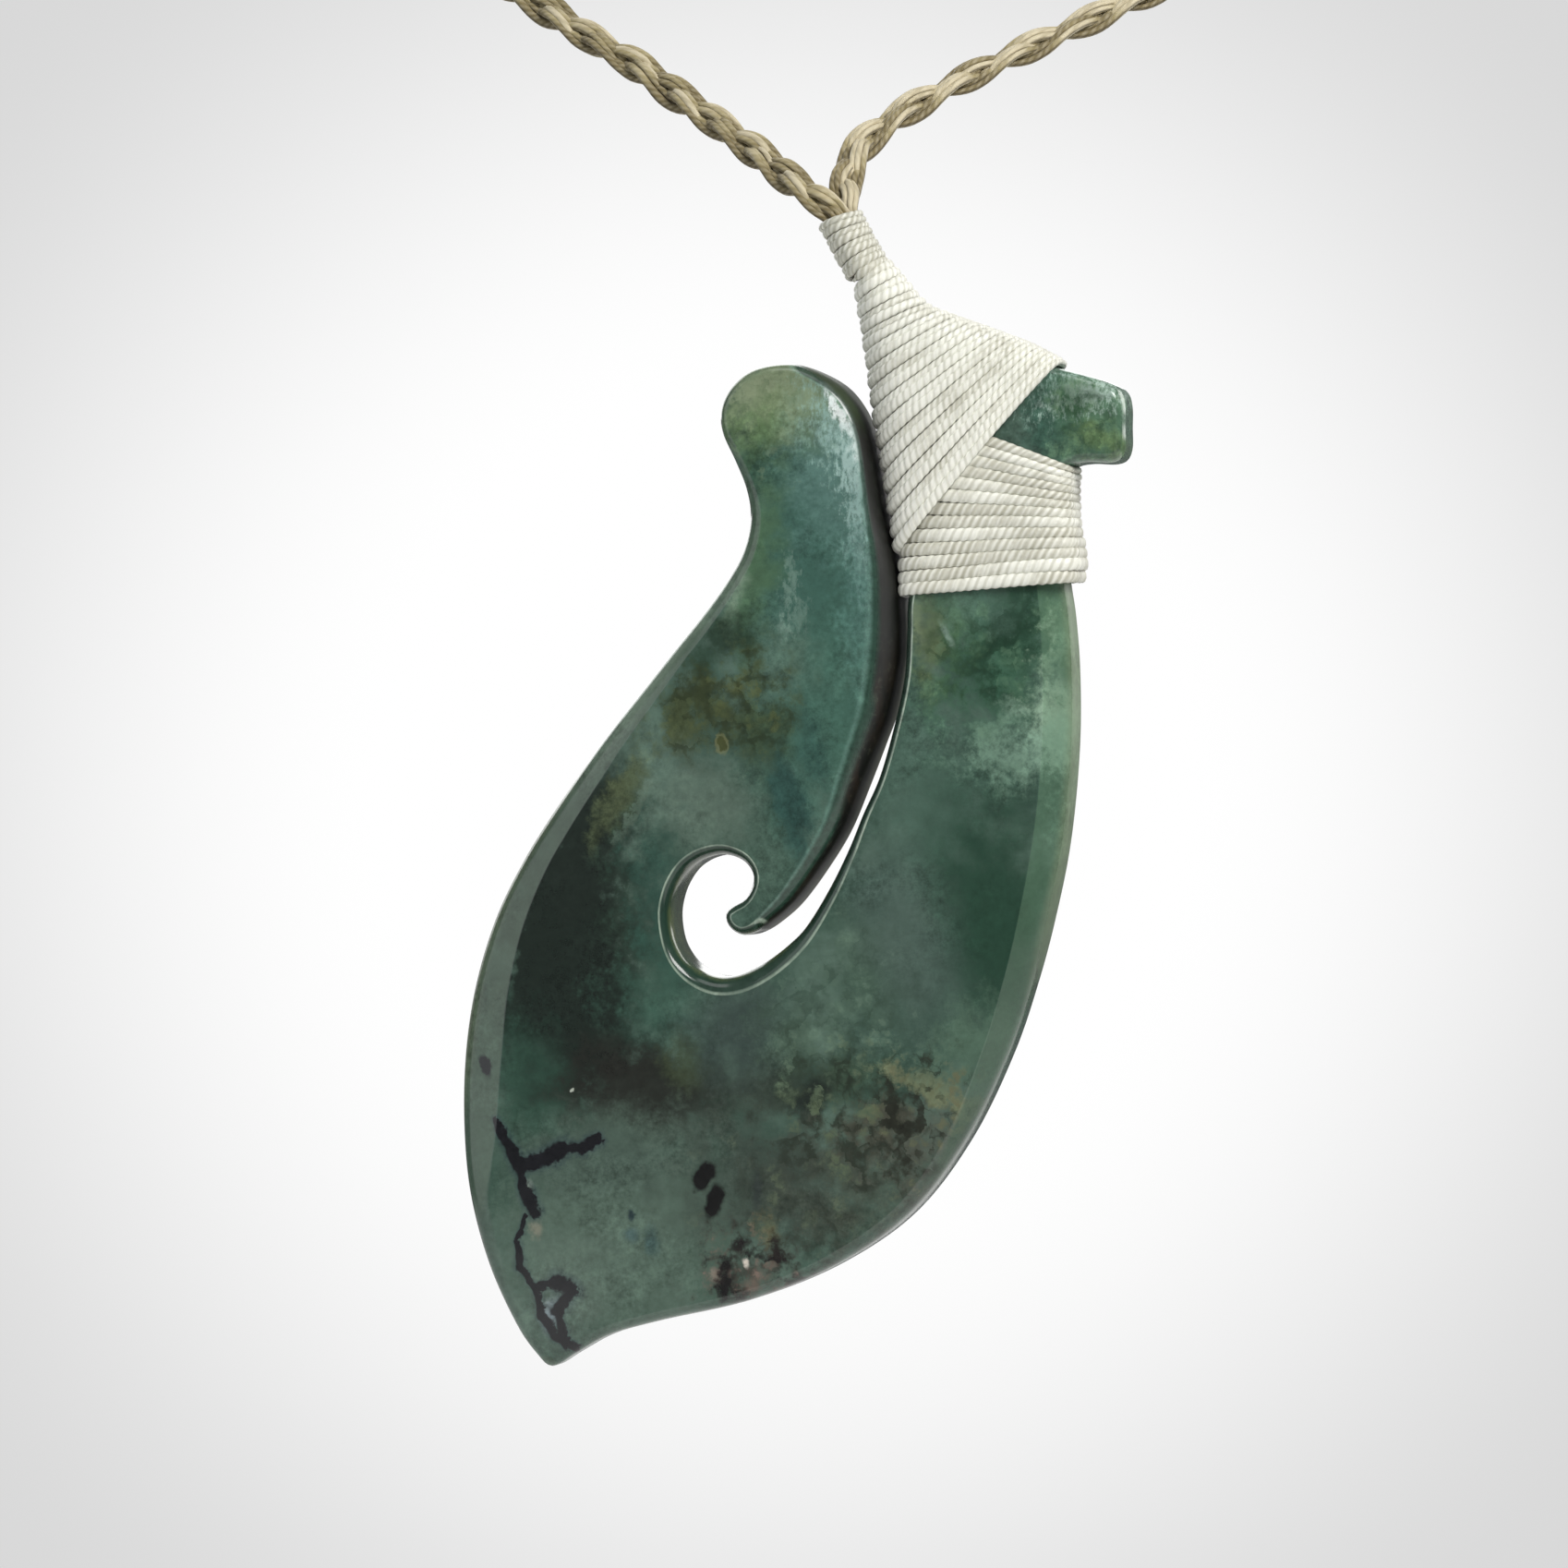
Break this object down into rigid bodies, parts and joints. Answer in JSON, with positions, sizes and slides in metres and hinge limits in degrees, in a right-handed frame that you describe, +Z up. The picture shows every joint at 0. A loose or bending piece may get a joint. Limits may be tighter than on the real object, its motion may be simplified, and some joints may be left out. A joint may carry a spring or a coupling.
{
  "type": "hei matau pendant",
  "caption": "Fish-hook pendant of polished green stone, lashed with pale thread to a plaited cord loop for the neck.",
  "frame": {"origin": "inner side of the neck cord at the nape, where the loop rests on a neck or a peg", "axes": "+Z up, -Y towards the viewer of the pendant's front, +X to that viewer's right"},
  "size_m": [0.1669, 0.1793, 0.2254],
  "materials": {
    "stone": "polished green stone with darker veins and brown mottling",
    "thread": "twisted waxed thread, satin",
    "plait": "plaited waxed thread, matte"
  },
  "bodies": {
    "root": {"jade_hook": "stone", "shank_lashing": "thread", "fan_lashing": "thread", "neck_whipping": "thread", "neck_cord_left": "plait", "neck_cord_right": "plait"}
  },
  "joints": []
}
